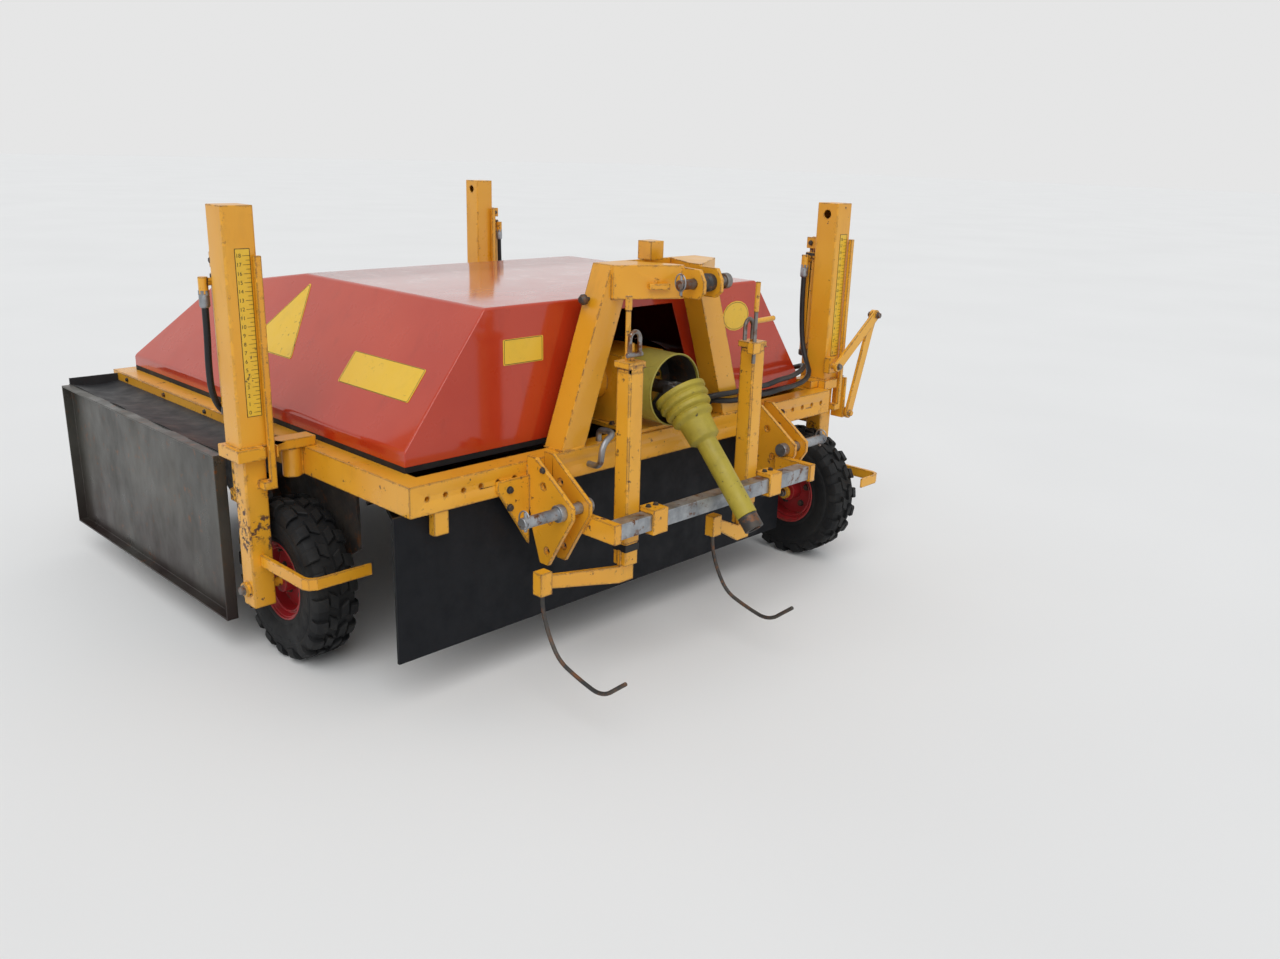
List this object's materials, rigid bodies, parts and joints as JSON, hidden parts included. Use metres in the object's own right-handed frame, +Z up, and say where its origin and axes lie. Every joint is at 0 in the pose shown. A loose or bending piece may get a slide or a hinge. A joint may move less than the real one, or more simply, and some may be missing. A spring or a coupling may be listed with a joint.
{
  "type": "mounted onion harvesting machine (onion topper)",
  "caption": "Tractor-mounted onion topper: red hood over a leaf-cutting rotor, yellow frame with a three-point headstock, shielded drive shaft and sliding wheel legs.",
  "frame": {"origin": "middle of the footprint on the ground", "axes": "+Z up, -Y towards the tractor hitch, +X to the right as seen from the hitch side looking +Y"},
  "size_m": [2.0285, 2.3968, 1.13],
  "materials": {
    "yellow_paint": "gloss",
    "red_paint": "gloss",
    "black_steel": "satin",
    "galvanised": "satin",
    "bare_steel": "satin",
    "rubber": "matte",
    "tyre": "matte",
    "guard_plastic": "matte",
    "rim_red": "satin",
    "worn_steel": "satin"
  },
  "bodies": {
    "chassis": {"crossbar": "galvanised", "cylinder_left": "yellow_paint", "cylinder_rear": "yellow_paint", "cylinder_right": "yellow_paint", "feeler_arm_left": "yellow_paint", "feeler_arm_right": "yellow_paint", "feeler_left": "black_steel", "feeler_right": "black_steel", "folded_link": "yellow_paint", "front_loop": "galvanised", "front_skirt": "rubber", "gearbox": "yellow_paint", "headstock": "yellow_paint", "hitch_left": "yellow_paint", "hitch_pin_left": "bare_steel", "hitch_pin_right": "bare_steel", "hitch_right": "yellow_paint", "hood": "red_paint", "hood_seal": "rubber", "hose_left": "rubber", "hose_rear": "rubber", "hose_right": "rubber", "input_shaft": "bare_steel", "link_bracket": "yellow_paint", "main_frame": "yellow_paint", "outlet_cover": "black_steel", "outlet_panel": "worn_steel", "post_left": "yellow_paint", "post_rear": "yellow_paint", "post_right": "yellow_paint", "pto_can": "guard_plastic", "rear_skirt": "rubber", "rotor_bearings": "yellow_paint", "side_plates": "worn_steel", "stand_left": "yellow_paint", "stand_right": "yellow_paint", "top_link_pin": "bare_steel", "tunnel": "worn_steel"},
    "leg_left": {"leg_left": "yellow_paint", "band_left": "yellow_paint"},
    "wheel_left": {"tyre_left": "tyre", "rim_left": "rim_red"},
    "leg_right": {"leg_right": "yellow_paint", "band_right": "yellow_paint"},
    "wheel_right": {"tyre_right": "tyre", "rim_right": "rim_red"},
    "leg_rear": {"leg_rear": "yellow_paint", "band_rear": "yellow_paint"},
    "wheel_rear": {"tyre_rear": "tyre", "rim_rear": "rim_red"},
    "rotor": {"rotor": "worn_steel"},
    "pto": {"pto_guard": "guard_plastic", "pto_shaft": "bare_steel"}
  },
  "joints": [
    {"name": "leg_left_height", "type": "slide", "parent": "chassis", "child": "leg_left", "axis": [0, 0, -1], "range_m": [-0.05, 0.15]},
    {"name": "wheel_left_spin", "type": "hinge", "parent": "leg_left", "child": "wheel_left", "pos_m": [-0.85825, -0.2805, 0.20958], "axis": [1, 0, 0], "continuous": true},
    {"name": "leg_right_height", "type": "slide", "parent": "chassis", "child": "leg_right", "axis": [0, 0, -1], "range_m": [-0.05, 0.15]},
    {"name": "wheel_right_spin", "type": "hinge", "parent": "leg_right", "child": "wheel_right", "pos_m": [0.72975, -0.6755, 0.20958], "axis": [1, 0, 0], "continuous": true},
    {"name": "leg_rear_height", "type": "slide", "parent": "chassis", "child": "leg_rear", "axis": [0, 0, -1], "range_m": [-0.05, 0.15]},
    {"name": "wheel_rear_spin", "type": "hinge", "parent": "leg_rear", "child": "wheel_rear", "pos_m": [0.61475, 0.989, 0.20958], "axis": [1, 0, 0], "continuous": true},
    {"name": "rotor_spin", "type": "hinge", "parent": "chassis", "child": "rotor", "pos_m": [-0.02275, 0.011, 0.345], "axis": [1, 0, 0], "continuous": true},
    {"name": "pto_swing", "type": "hinge", "parent": "chassis", "child": "pto", "pos_m": [-0.02275, -0.809, 0.67], "axis": [-1, 0, 0], "range_deg": [0, 65]}
  ]
}
